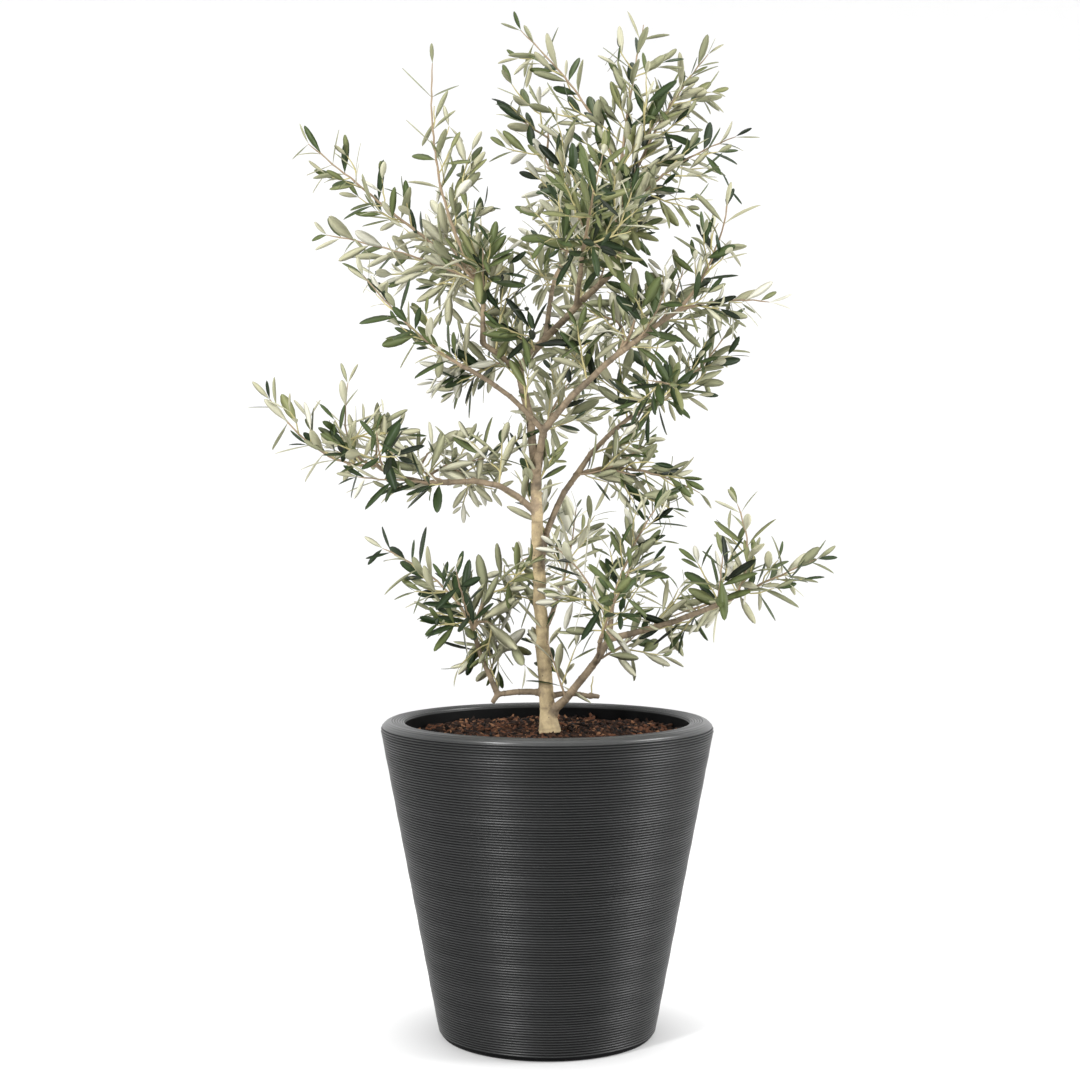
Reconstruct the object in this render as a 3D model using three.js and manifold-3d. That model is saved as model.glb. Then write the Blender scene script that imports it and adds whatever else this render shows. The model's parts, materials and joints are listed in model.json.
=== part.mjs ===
// A young olive tree in a round ribbed planter, in millimetres, +Z up.
// The origin is the centre of the planter's flat underside.
import * as THREE from 'three';
import { mergeVertices } from 'three/addons/utils/BufferGeometryUtils.js';
import Module from 'manifold-3d';

const wasm = await Module();
wasm.setup();

// Driving dimensions of the planter and its filling.
const RIM_RADIUS = 250;          // widest ring, just under the rounded shoulder
const FOOT_RADIUS = 162;
const MOUTH_RADIUS = 214.5;      // inner edge of the wide rim
const POT_HEIGHT = 475;          // up to the crest of the rounded rim
const WALL = 9;
const FOOT_ROUND = 7;            // radius of the edge between underside and wall
const SHOULDER_ROUND = 15;       // radius of the round from the wall up to the crest
const RIM_FALL = 4;              // the rim's fall from its crest to its inner edge
const LIP_DEPTH = 45;            // the rim's inner skirt, down from the crest
const SOIL_DEPTH = 20;           // soil surface below the crest
const SOIL_SAG = 5;              // soil at the wall, below its middle

// Driving dimensions of the tree.
const TRUNK_LENGTH = 396;        // up to the fork
const FOOT_TRIM = 2;             // the trunk's lean is taken up below its flat cut on the soil
const TRUNK_FOOT = [4, 0];       // the trunk stands just off the planter's axis
const TRUNK_THICKNESS = [22, 15];
const ROOT_FLARE = 6.5;          // added to the trunk's radius on the soil
const FLARE_HEIGHT = 13;
const COLLAR = 0.3;              // swelling of a limb where it leaves its parent
const COLLAR_LENGTH = 9;
const CROOK = 1.6;               // sideways wander of a limb from joint to joint
const LIMB_RING = 36;            // length of a limb between two of its rings
const MASS_LUMPS = 0.16;         // unevenness of a mass of foliage, as a share of its width
const GAP = 0.4;                 // air between neighbouring pieces

const ROUND_STEPS = 32;
const MASS_SIDES = 10;
const MASS_RINGS = 6;
const soilLevel = POT_HEIGHT - SOIL_DEPTH;

// ---------------------------------------------------------------- solids

/** Welds a closed geometry into a solid that can be cut. */
function toSolid(geometry) {
  geometry.deleteAttribute('normal');
  geometry.deleteAttribute('uv');
  const welded = mergeVertices(geometry, 1e-3);
  const corners = welded.index.array;
  const triVerts = [];
  for (let i = 0; i < corners.length; i += 3) {
    const [a, b, c] = corners.slice(i, i + 3);
    if (a !== b && b !== c && c !== a) triVerts.push(a, b, c);
  }
  return new wasm.Manifold(new wasm.Mesh({
    numProp: 3,
    vertProperties: Float32Array.from(welded.attributes.position.array),
    triVerts: Uint32Array.from(triVerts),
  }));
}

/** Turns a solid back into a flat-shaded geometry. */
function toGeometry(solid) {
  const { vertProperties, triVerts } = solid.getMesh();
  const geometry = new THREE.BufferGeometry();
  geometry.setAttribute('position', new THREE.BufferAttribute(Float32Array.from(vertProperties), 3));
  geometry.setIndex(new THREE.BufferAttribute(Uint32Array.from(triVerts), 1));
  geometry.computeVertexNormals();
  return geometry;
}

/** The largest of the pieces that a cut leaves. */
function mainPiece(solid) {
  return solid.decompose().sort((a, b) => b.volume() - a.volume())[0];
}

/** Repeatable numbers from 0 to 1 for one named piece. */
function seededNumbers(name) {
  let state = [...name].reduce((sum, letter) => (sum * 31 + letter.charCodeAt(0)) % 2147483647, 7);
  return () => {
    state = (state * 48271) % 2147483647;
    return state / 2147483647;
  };
}

// ---------------------------------------------------------------- planter

const lipBottom = POT_HEIGHT - LIP_DEPTH;

/** The outer radius of the tapered wall at a height. */
function wallAt(height) {
  return FOOT_RADIUS + (RIM_RADIUS - FOOT_RADIUS) * height / (POT_HEIGHT - SHOULDER_ROUND);
}

/** The planter: a tapered wall and a wide rounded rim that turns down inside. */
function potGeometry() {
  const profile = [[0, 0], [FOOT_RADIUS - FOOT_ROUND, 0]];
  profile.push([FOOT_RADIUS - FOOT_ROUND * 0.3, FOOT_ROUND * 0.3], [wallAt(FOOT_ROUND), FOOT_ROUND]);
  const crestRadius = RIM_RADIUS - SHOULDER_ROUND;
  for (const angle of [0, 30, 60, 90]) {
    const turn = THREE.MathUtils.degToRad(angle);
    profile.push([crestRadius + SHOULDER_ROUND * Math.cos(turn), POT_HEIGHT - SHOULDER_ROUND * (1 - Math.sin(turn))]);
  }
  for (const angle of [30, 60, 90]) {
    const turn = THREE.MathUtils.degToRad(angle);
    const inward = (crestRadius - MOUTH_RADIUS) * Math.sin(turn);
    profile.push([crestRadius - inward, POT_HEIGHT - RIM_FALL * (1 - Math.cos(turn))]);
  }
  profile.push([MOUTH_RADIUS - 1, lipBottom + 6], [wallAt(lipBottom - 8) - WALL, lipBottom - 8]);
  profile.push([wallAt(WALL) - WALL, WALL], [0, WALL]);
  const points = profile.map(([radius, height]) => new THREE.Vector2(radius, height));
  return new THREE.LatheGeometry(points, ROUND_STEPS).rotateX(Math.PI / 2);
}

/** The soil: it fills the planter to just under the rim, a little higher in the middle. */
function soilGeometry() {
  const insideAt = (height) => wallAt(height) - WALL - GAP;
  const edge = MOUTH_RADIUS - 1.5 - GAP;
  const profile = [[0, WALL + GAP], [insideAt(WALL), WALL + GAP], [insideAt(lipBottom - 9), lipBottom - 9]];
  profile.push([edge, lipBottom + 5], [edge, soilLevel - SOIL_SAG]);
  profile.push([edge * 0.6, soilLevel - SOIL_SAG * 0.3], [45, soilLevel], [0, soilLevel]);
  const points = profile.map(([radius, height]) => new THREE.Vector2(radius, height));
  return new THREE.LatheGeometry(points, ROUND_STEPS).rotateX(Math.PI / 2);
}

// ---------------------------------------------------------------- limbs and masses

/** A unit vector that heads round from +X and climbs above the level, both in degrees. */
function direction(heading, climb) {
  const around = THREE.MathUtils.degToRad(heading);
  const above = THREE.MathUtils.degToRad(climb);
  return new THREE.Vector3(
    Math.cos(above) * Math.cos(around),
    Math.cos(above) * Math.sin(around),
    Math.sin(above),
  );
}

/** A line from start that bows upward and sways sideways at its middle. */
function bentLine(start, { heading, climb, length, bow = 0, sway = 0 }) {
  const ahead = direction(heading, climb);
  const side = direction(heading + 90, 0);
  const over = new THREE.Vector3().crossVectors(ahead, side);
  const middle = start.clone().addScaledVector(ahead, length / 2)
    .addScaledVector(over, 2 * bow).addScaledVector(side, 2 * sway);
  return new THREE.QuadraticBezierCurve3(start, middle, start.clone().addScaledVector(ahead, length));
}

/** A tapering round limb along a crooked line, grown by a margin all round. */
function limbGeometry(limb, grow) {
  const { line, thickness, flare = 0, sides = 8, rings, wander } = limb;
  const length = line.getLength();
  const geometry = new THREE.CylinderGeometry(1, 1, 1, sides, rings).rotateX(Math.PI / 2);
  const place = geometry.attributes.position;
  const turn = new THREE.Quaternion();
  const up = new THREE.Vector3(0, 0, 1);
  const point = new THREE.Vector3();
  for (let i = 0; i < place.count; i++) {
    const t = place.getZ(i) + 0.5;
    const along = t * length;
    const collar = 1 + COLLAR * Math.exp(-along / COLLAR_LENGTH);
    const radius = THREE.MathUtils.lerp(thickness[0], thickness[1], t) / 2 * (limb.on ? collar : 1)
      + flare * Math.exp(-along / FLARE_HEIGHT) + grow;
    const overrun = (t === 0 ? -grow : 0) + (t === 1 ? grow : 0);
    turn.setFromUnitVectors(up, line.getTangent(t));
    point.set(place.getX(i) * radius, place.getY(i) * radius, overrun).applyQuaternion(turn);
    point.add(line.getPoint(t)).add(wander(t));
    place.setXYZ(i, point.x, point.y, point.z);
  }
  return geometry;
}

/**
 * A mass of foliage: an uneven closed body round a bent line. Its width lies level, square to
 * its heading, and its height is upright.
 */
function massGeometry(mass, grow) {
  const { line, heading, width, height } = mass;
  const random = seededNumbers(mass.name);
  const waves = Array.from({ length: 4 }, () => ({
    along: direction(random() * 360, random() * 180 - 90),
    pitch: 2.5 + 2.5 * random(),
    phase: random() * 2 * Math.PI,
  }));
  const geometry = new THREE.SphereGeometry(1, MASS_SIDES, MASS_RINGS).rotateX(Math.PI / 2);
  const place = geometry.attributes.position;
  const level = direction(heading + 90, 0);
  const unit = new THREE.Vector3();
  const point = new THREE.Vector3();
  for (let i = 0; i < place.count; i++) {
    unit.fromBufferAttribute(place, i);
    const t = (1 + unit.z) / 2;
    const uneven = waves.reduce((sum, w) => sum + Math.sin(w.pitch * unit.dot(w.along) + w.phase), 0) / 2;
    const size = 1 + MASS_LUMPS * uneven;
    const ahead = line.getTangent(t);
    const over = new THREE.Vector3().crossVectors(ahead, level).normalize();
    point.copy(line.getPoint(t)).addScaledVector(ahead, unit.z * grow);
    point.addScaledVector(level, unit.x * (width / 2 * size + grow));
    point.addScaledVector(over, unit.y * (height / 2 * size + grow));
    place.setXYZ(i, point.x, point.y, point.z);
  }
  return geometry;
}

const limbs = new Map();
const masses = new Map();

/** A point on a limb's crooked line. */
function pointOn(name, at) {
  const { line, wander } = limbs.get(name);
  return line.getPoint(at).add(wander(at));
}

/** Adds a limb that leaves its parent `on` at the fraction `at` of the parent's length. */
function limb(name, shape) {
  const start = shape.start ?? pointOn(shape.on, shape.at);
  const line = bentLine(start, shape);
  const random = seededNumbers(name);
  const [phase, tilt] = [random() * 2 * Math.PI, random() * Math.PI];
  const turns = Math.max(1, Math.round(shape.length / 70));
  const wander = (t) => {
    const swing = CROOK * Math.sin(Math.PI * t) * Math.sin(turns * Math.PI * t * 1.7 + phase);
    return new THREE.Vector3(Math.cos(tilt) * swing, Math.sin(tilt) * swing, 0);
  };
  const rings = shape.rings ?? Math.max(3, Math.round(shape.length / LIMB_RING));
  limbs.set(name, { ...shape, name, line, wander, rings });
}

/** Adds a mass of foliage whose foot lies round the point `at` on the limb `on`. */
function mass(name, shape) {
  const foot = pointOn(shape.on, shape.at);
  foot.addScaledVector(direction(shape.heading, shape.climb), -(shape.back ?? 0.12) * shape.length);
  masses.set(name, { ...shape, name, line: bentLine(foot, shape) });
}

// ---------------------------------------------------------------- the tree's own shape

limb('trunk', {
  start: new THREE.Vector3(...TRUNK_FOOT, soilLevel - FOOT_TRIM), heading: 180, climb: 87, length: TRUNK_LENGTH,
  bow: -4, thickness: TRUNK_THICKNESS, flare: ROOT_FLARE, sides: 12, rings: 12,
});

// The fork and the crown's main boughs.
limb('left_stem', { on: 'trunk', at: 1, heading: 143, climb: 78, length: 160, bow: 4, thickness: [12.5, 11.5] });
limb('right_stem', { on: 'trunk', at: 1, heading: -55, climb: 73, length: 64, thickness: [10.5, 9.5] });
limb('top_bough', { on: 'left_stem', at: 1, heading: -8, climb: 45, length: 207, bow: 3, thickness: [10.5, 8.5] });
limb('top_leader', { on: 'top_bough', at: 1, heading: 0, climb: 88, length: 88, thickness: [7.5, 6.5] });
limb('left_fork', { on: 'left_stem', at: 1, heading: -169, climb: 34, length: 66, thickness: [8.5, 7.5] });
limb('left_riser', { on: 'left_fork', at: 1, heading: -74, climb: 87, length: 105, thickness: [7, 6] });
limb('crossing_bough', {
  on: 'right_stem', at: 1, heading: -158, climb: 34, length: 182, bow: 12, thickness: [7.5, 5.5],
});
limb('right_bough', { on: 'right_stem', at: 1, heading: -22, climb: 43, length: 167, bow: 5, thickness: [9, 8] });
limb('right_bough_tip', { on: 'right_bough', at: 1, heading: -10, climb: 35, length: 134, thickness: [7.5, 6] });

// Limbs that leave the trunk below the fork.
limb('left_arm', { on: 'trunk', at: 0.84, heading: -163, climb: 19, length: 144, bow: 20, thickness: [9, 7.5] });
limb('left_arm_tip', { on: 'left_arm', at: 1, heading: -171, climb: 17, length: 133, bow: -14, thickness: [7, 5.5] });
limb('low_left_limb', { on: 'trunk', at: 0.155, heading: -165, climb: 0, length: 75, bow: 3, thickness: [9, 7.5] });
limb('low_left_riser', {
  on: 'low_left_limb', at: 1, heading: -167, climb: 70, length: 126, bow: -4, thickness: [7, 5.5],
});
limb('low_right_bough', {
  on: 'trunk', at: 0.07, heading: -25, climb: 50, length: 155, bow: -7, thickness: [11.5, 10],
});
limb('low_right_riser', {
  on: 'low_right_bough', at: 1, heading: 42, climb: 79, length: 80, bow: 3, thickness: [7.5, 6],
});
limb('low_right_reach', {
  on: 'low_right_bough', at: 1, heading: -9, climb: 19, length: 200, bow: -6, thickness: [9, 6.5],
});
limb('cut_limb', { on: 'trunk', at: 0.14, heading: 36, climb: -3, length: 85, bow: 5, thickness: [8, 7] });
limb('second_stem', {
  on: 'trunk', at: 0.58, heading: 47, climb: 63, length: 181, bow: 20, thickness: [8.8, 8.4],
});
limb('second_stem_tip', {
  on: 'second_stem', at: 1, heading: 0, climb: 39, length: 194, bow: 18, thickness: [7.2, 5.6],
});

// Limbs towards the back and the front.
limb('back_bough', { on: 'top_bough', at: 0.3, heading: 84, climb: 38, length: 185, bow: 6, thickness: [7.5, 6] });
limb('back_stem', { on: 'trunk', at: 0.96, heading: 84, climb: 32, length: 185, bow: -8, thickness: [7.5, 6] });
limb('back_limb', { on: 'trunk', at: 0.38, heading: 76, climb: 30, length: 170, bow: -6, thickness: [7.5, 6] });
limb('front_bough', { on: 'top_bough', at: 0.62, heading: -86, climb: 30, length: 150, bow: 5, thickness: [7, 5.6] });
limb('front_limb', { on: 'low_right_bough', at: 0.72, heading: -84, climb: 32, length: 115, bow: -4, thickness: [6.5, 5.5] });

// The masses of foliage, from the top down.
mass('leaves_top_left', {
  on: 'left_riser', at: 1, heading: 192, climb: 76, length: 365, width: 84, height: 92, bow: -3, back: 0.06,
});
mass('leaves_top_middle', {
  on: 'top_bough', at: 0.92, heading: 158, climb: 70, length: 400, width: 120, height: 150, bow: -8, back: -0.08,
});
mass('leaves_top', { on: 'top_leader', at: 1, heading: -25, climb: 81, length: 342, width: 116, height: 124 });
mass('leaves_top_right', {
  on: 'top_leader', at: 0.95, heading: 14, climb: 60, length: 290, width: 100, height: 96, bow: -12, back: -0.04,
});
mass('leaves_upper_right', {
  on: 'top_leader', at: 0.5, heading: -6, climb: 40, length: 228, width: 110, height: 96, back: -0.1,
});
mass('leaves_heart_front', {
  on: 'front_bough', at: 1, heading: -80, climb: 40, length: 230, width: 185, height: 170, back: 0.22,
});
mass('leaves_heart_back', {
  on: 'back_bough', at: 1, heading: 60, climb: 45, length: 250, width: 190, height: 180, back: 0.2,
});
mass('leaves_upper_left', {
  on: 'left_riser', at: 0.55, heading: 193, climb: 41, length: 340, width: 96, height: 92, back: -0.1, bow: 4,
});
mass('leaves_left_outer', {
  on: 'left_riser', at: 0.15, heading: 172, climb: 32, length: 270, width: 100, height: 84, back: -0.12, bow: 10,
});
mass('leaves_left_low', {
  on: 'crossing_bough', at: 1, heading: 204, climb: 42, length: 215, width: 120, height: 84, back: 0.12, bow: 6,
});
mass('leaves_left_heart', {
  on: 'left_riser', at: 0.8, heading: 112, climb: 36, length: 230, width: 150, height: 150, back: -0.06,
});
mass('leaves_over_bough', {
  on: 'right_bough', at: 0.97, heading: 75, climb: 58, length: 170, width: 120, height: 110, back: -0.06,
});
mass('leaves_right_upper', {
  on: 'right_bough_tip', at: 1, heading: -8, climb: 72, length: 212, width: 140, height: 100, back: 0.16,
});
mass('leaves_right_side', {
  on: 'right_bough_tip', at: 0.8, heading: 4, climb: 5, length: 125, width: 100, height: 84, back: -0.12,
});
mass('leaves_right_middle', {
  on: 'second_stem_tip', at: 1, heading: 12, climb: 50, length: 182, width: 110, height: 108, back: 0.18,
});
mass('leaves_right_inner', {
  on: 'second_stem_tip', at: 0.5, heading: -68, climb: 20, length: 190, width: 130, height: 100, back: -0.06,
});
mass('leaves_centre', {
  on: 'right_bough', at: 0.4, heading: 88, climb: 52, length: 170, width: 104, height: 104, back: -0.14,
});
mass('leaves_right_low', {
  on: 'second_stem', at: 1, heading: 4, climb: -8, length: 190, width: 130, height: 118, back: -0.08,
});
mass('leaves_right_riser', {
  on: 'low_right_riser', at: 1, heading: 10, climb: 62, length: 180, width: 105, height: 100, back: 0.12,
});
mass('leaves_arm_tip', {
  on: 'left_arm_tip', at: 1, heading: 186, climb: 31, length: 195, width: 92, height: 84, back: 0.12, bow: 3,
});
mass('leaves_arm_top', {
  on: 'left_arm_tip', at: 0.25, heading: 176, climb: 52, length: 165, width: 84, height: 80, back: -0.2,
});
mass('leaves_arm_middle', {
  on: 'left_arm', at: 0.9, heading: 200, climb: 2, length: 155, width: 100, height: 78, back: -0.08, bow: -4,
});
mass('leaves_arm_back', {
  on: 'left_arm', at: 0.55, heading: 112, climb: 22, length: 200, width: 110, height: 95, back: -0.1,
});
mass('leaves_low_left', {
  on: 'low_left_riser', at: 1, heading: 182, climb: 38, length: 200, width: 100, height: 92, back: 0.12,
});
mass('leaves_low_left_inner', {
  on: 'low_left_riser', at: 0.6, heading: 50, climb: 46, length: 190, width: 105, height: 105, back: -0.08,
});
mass('leaves_low_left_side', {
  on: 'low_left_riser', at: 0.42, heading: 200, climb: 6, length: 150, width: 80, height: 62, back: 0.5,
});
mass('leaves_low_back', {
  on: 'back_limb', at: 1, heading: 80, climb: 42, length: 200, width: 130, height: 130, back: 0.16,
});
mass('leaves_middle_back', {
  on: 'back_stem', at: 1, heading: 68, climb: 32, length: 210, width: 150, height: 140, back: 0.16,
});
mass('leaves_low_middle', {
  on: 'low_right_bough', at: 0.45, heading: 205, climb: 80, length: 195, width: 90, height: 92, back: -0.14,
});
mass('leaves_low_front', {
  on: 'front_limb', at: 1, heading: -70, climb: 42, length: 170, width: 120, height: 110, back: 0.16,
});
mass('leaves_low_right', {
  on: 'low_right_reach', at: 0.34, heading: 34, climb: 10, length: 130, width: 90, height: 76, back: -0.05,
});
mass('leaves_reach_riser', {
  on: 'low_right_reach', at: 0.92, heading: 0, climb: 84, length: 140, width: 82, height: 86, back: -0.08,
});
mass('leaves_reach_tip', {
  on: 'low_right_reach', at: 1, heading: -6, climb: 25, length: 145, width: 92, height: 84, back: 0.04,
});

// ---------------------------------------------------------------- cutting and assembly

const finishes = {
  pot: new THREE.MeshStandardMaterial({ color: 0x323332, roughness: 0.5, metalness: 0 }),
  soil: new THREE.MeshStandardMaterial({ color: 0x432d22, roughness: 0.95, metalness: 0 }),
  bark: new THREE.MeshStandardMaterial({ color: 0xa5977a, roughness: 0.85, metalness: 0 }),
  foliage: new THREE.MeshStandardMaterial({ color: 0x7f8769, roughness: 0.6, metalness: 0 }),
};

const plant = new THREE.Group();

function addMesh(name, geometry, finish) {
  const mesh = new THREE.Mesh(geometry, finishes[finish]);
  mesh.name = name;
  plant.add(mesh);
}

addMesh('pot', toGeometry(toSolid(potGeometry())), 'pot');
addMesh('soil', toGeometry(toSolid(soilGeometry())), 'soil');

/** True where a limb ends inside a mass that grows from its tip. */
const endsIn = (limbShape, massShape) => massShape.on === limbShape.name && massShape.at === 1;

const grownLimbs = [...limbs.values()].map((shape) => ({ shape, solid: toSolid(limbGeometry(shape, GAP)) }));
const grownMasses = [...masses.values()].map((shape) => ({ shape, solid: toSolid(massGeometry(shape, GAP)) }));

// Each limb is cut flat on the soil and by the limbs before it, and ends where it enters its own mass.
const ground = toSolid(new THREE.BoxGeometry(2 * RIM_RADIUS, 2 * RIM_RADIUS, POT_HEIGHT)
  .translate(0, 0, soilLevel + GAP - POT_HEIGHT / 2));
grownLimbs.forEach(({ shape }, index) => {
  let solid = toSolid(limbGeometry(shape, 0)).subtract(ground);
  for (const earlier of grownLimbs.slice(0, index)) solid = solid.subtract(earlier.solid);
  for (const leafy of grownMasses) {
    if (endsIn(shape, leafy.shape)) solid = solid.subtract(leafy.solid);
  }
  addMesh(shape.name, toGeometry(mainPiece(solid)), 'bark');
});

// Each mass is cut round the limbs that run through it, and by the masses before it.
grownMasses.forEach(({ shape }, index) => {
  let solid = toSolid(massGeometry(shape, 0));
  for (const passing of grownLimbs) {
    if (!endsIn(passing.shape, shape)) solid = solid.subtract(passing.solid);
  }
  for (const earlier of grownMasses.slice(0, index)) solid = solid.subtract(earlier.solid);
  addMesh(shape.name, toGeometry(mainPiece(solid)), 'foliage');
});

export default plant;
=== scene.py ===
import json
import math
import random
from collections import namedtuple

import bmesh
import bpy
import numpy as np
from mathutils import Matrix, Vector, noise
from mathutils.bvhtree import BVHTree
from mathutils.kdtree import KDTree

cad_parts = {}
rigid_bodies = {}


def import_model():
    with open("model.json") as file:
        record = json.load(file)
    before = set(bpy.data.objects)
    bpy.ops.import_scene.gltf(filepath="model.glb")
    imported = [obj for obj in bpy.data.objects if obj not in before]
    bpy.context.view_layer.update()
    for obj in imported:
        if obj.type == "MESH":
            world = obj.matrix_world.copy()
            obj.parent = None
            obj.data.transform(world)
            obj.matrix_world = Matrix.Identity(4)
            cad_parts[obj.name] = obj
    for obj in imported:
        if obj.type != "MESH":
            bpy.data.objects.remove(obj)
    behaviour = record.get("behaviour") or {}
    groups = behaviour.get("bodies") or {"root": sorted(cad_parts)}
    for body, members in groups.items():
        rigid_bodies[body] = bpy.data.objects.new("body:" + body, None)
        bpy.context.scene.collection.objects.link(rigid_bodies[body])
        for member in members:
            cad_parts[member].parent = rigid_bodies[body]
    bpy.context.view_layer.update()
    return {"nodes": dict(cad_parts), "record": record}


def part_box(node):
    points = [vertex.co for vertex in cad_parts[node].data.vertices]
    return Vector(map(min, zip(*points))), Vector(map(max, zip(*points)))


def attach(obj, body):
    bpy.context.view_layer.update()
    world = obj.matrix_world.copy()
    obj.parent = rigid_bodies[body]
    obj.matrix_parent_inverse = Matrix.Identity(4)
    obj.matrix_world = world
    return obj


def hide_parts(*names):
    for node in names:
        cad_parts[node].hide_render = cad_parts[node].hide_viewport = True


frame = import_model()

MM = 0.001

# ---------------------------------------------------------------------------- planter
# A rotationally moulded planter of charcoal polyethylene, 50 cm across. Its mould is turned
# with fine combed ribs that run up the wall, and on, much shallower, over the wide round rim.


def radius_at(node, low, high):
    """The largest radius of a CAD node's points between two heights."""
    points = [v.co for v in frame["nodes"][node].data.vertices if low <= v.co.z <= high]
    return max(math.hypot(p.x, p.y) for p in points)


def linear(colour):
    """An sRGB hex colour as linear red, green, blue and alpha."""
    parts = [int(colour[i:i + 2], 16) / 255 for i in (1, 3, 5)]
    return [c / 12.92 if c <= 0.04045 else ((c + 0.055) / 1.055) ** 2.4 for c in parts] + [1.0]


def add_node(material, kind, settings=None, links=None):
    """Adds a shader node, gives it its settings, and links its inputs to (node, output) pairs."""
    node = material.node_tree.nodes.new(kind)
    for name, value in (settings or {}).items():
        if name in node.inputs:
            node.inputs[name].default_value = value
        else:
            setattr(node, name, value)
    for name, (source, output) in (links or {}).items():
        material.node_tree.links.new(source.outputs[output], node.inputs[name])
    return node


def new_material(name, **surface):
    """A material with its Principled shader's values set, and that shader."""
    material = bpy.data.materials.new(name)
    material.use_nodes = True
    shader = material.node_tree.nodes["Principled BSDF"]
    for socket, value in surface.items():
        shader.inputs[socket.replace("_", " ").title().replace("Ior", "IOR")].default_value = value
    return material, shader


def new_piece(name, mesh_or_bmesh, materials, replaced):
    """An object at the origin that rides on the plant's one body and stands for CAD nodes."""
    mesh = mesh_or_bmesh
    if isinstance(mesh_or_bmesh, bmesh.types.BMesh):
        mesh = bpy.data.meshes.new(name)
        mesh_or_bmesh.to_mesh(mesh)
        mesh_or_bmesh.free()
    piece = bpy.data.objects.new(name, mesh)
    bpy.context.scene.collection.objects.link(piece)
    for material in materials:
        mesh.materials.append(material)
    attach(piece, "root")
    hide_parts(*replaced)
    return piece


def spun(profile, steps):
    """A round body turned from a profile of (radius, height) points that starts on the axis."""
    bm = bmesh.new()
    verts = [bm.verts.new((radius, 0, height)) for radius, height in profile]
    edges = [bm.edges.new(pair) for pair in zip(verts, verts[1:])]
    bmesh.ops.spin(bm, geom=verts + edges, cent=(0, 0, 0), axis=(0, 0, 1), angle=2 * math.pi,
                   steps=steps, use_merge=True)
    bmesh.ops.remove_doubles(bm, verts=bm.verts, dist=0.01 * MM)
    bmesh.ops.recalc_face_normals(bm, faces=bm.faces)
    return bm


foot_round = 7 * MM
shoulder_round = 15 * MM
wall = 9 * MM
pot_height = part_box("pot")[1].z
rim_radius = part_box("pot")[1].x
foot_radius = radius_at("pot", 0, 0.2 * MM) + foot_round
shoulder_height = pot_height - shoulder_round
crest_radius = rim_radius - shoulder_round
mouth_radius = 214.5 * MM
rim_fall = 4 * MM
rim_edge = pot_height - rim_fall
lip_bottom = pot_height - 45 * MM
under_lip = lip_bottom - 8 * MM
rib_pitch = 3.95 * MM
rib_depth = 2.3 * MM
rib_height = 1 * MM
rib_step = rib_pitch / 5
rib_random = random.Random(11)


def wall_radius(height):
    """The outer radius of the plain tapered wall at a height."""
    return foot_radius + (rim_radius - foot_radius) * height / shoulder_height


# The path that the ribs follow: up the wall, round the shoulder and down to the inner edge.
path = [(wall_radius(z), z) for z in np.arange(foot_round, shoulder_height, rib_step)]
shoulder_step = rib_step / shoulder_round
for turn in np.arange(shoulder_step, math.pi / 2, shoulder_step):
    path.append((crest_radius + shoulder_round * math.cos(turn),
                 shoulder_height + shoulder_round * math.sin(turn)))
inner_step = 0.034
for turn in np.arange(0, 1.5, inner_step):
    path.append((crest_radius - (crest_radius - mouth_radius) * math.sin(turn),
                 pot_height - rim_fall * (1 - math.cos(turn))))

# The ribs: a wave every few millimetres, cut mostly inward, no two combed equally deep, and
# shallow over the rim. The crest value is painted light for the material: 0 in a groove of the
# wall, as painted shade, a middling value on top of its ribs as a painted highlight, and a
# higher one on top of the rim's, whose grooves get painted shade too.
wall_crest_light = 0.42
rim_crest_light = 0.88
comb_fades_from, comb_fades_over = 5 * MM, 4 * MM
outline = [(0, 0, 0.0), (foot_radius - foot_round, 0, 0.0)]
for turn in (0.35, 0.75):
    outline.append((foot_radius - foot_round * (1 - math.sin(turn * math.pi / 2)),
                    foot_round * (1 - math.cos(turn * math.pi / 2)), 0.0))
travelled = 0.0
rib_depths = [rib_random.uniform(0.88, 1.08) * rib_depth for _ in range(200)]
for index, (radius, height) in enumerate(path):
    before, after = path[max(index - 1, 0)], path[min(index + 1, len(path) - 1)]
    along = Vector((after[0] - before[0], after[1] - before[1])).normalized()
    if index:
        travelled += math.dist(path[index - 1], (radius, height))
    sunk = (0.5 + 0.5 * math.cos(2 * math.pi * travelled / rib_pitch)) ** 0.7
    on_rim = min(1.0, max(0.0, (height - shoulder_height - comb_fades_from) / comb_fades_over))
    if radius < crest_radius and height > shoulder_height:
        on_rim = 1.0
    # On the rim, the second number is the painted shade that its grooves get.
    rim_depth, rim_groove_shade = (0.5 * MM, 0.2) if radius > crest_radius else (1.4 * MM, 0.7)
    wall_shift = rib_height - rib_depths[int(travelled / rib_pitch)] * sunk
    shift = (1 - on_rim) * wall_shift - on_rim * rim_depth * sunk
    # Painted light: lighter on the crests of the ribs, painted shade in the grooves.
    crest_light = (1 - on_rim) * wall_crest_light * (1 - sunk) + on_rim * (rim_crest_light - rim_groove_shade * sunk)
    outline.append((radius + along.y * shift, height - along.x * shift, crest_light))

# Inside, a lip hangs from the mouth, and the wall runs on down to the floor.
outline += [
    # The edge of the mouth gets 0.3, a painted highlight; the inside gets 0, as dark as a groove.
    (mouth_radius, rim_edge - 1 * MM, 0.3),
    (mouth_radius, rim_edge - 3 * MM, 0.0),
    (mouth_radius - 0.6 * MM, pot_height - 22 * MM, 0.0),
    (mouth_radius - 1 * MM, lip_bottom + 6 * MM, 0.0),
    (wall_radius(under_lip) - wall, under_lip, 0.0),
    (foot_radius - wall, wall, 0.0),
    (0, wall, 0.0),
]

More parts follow.
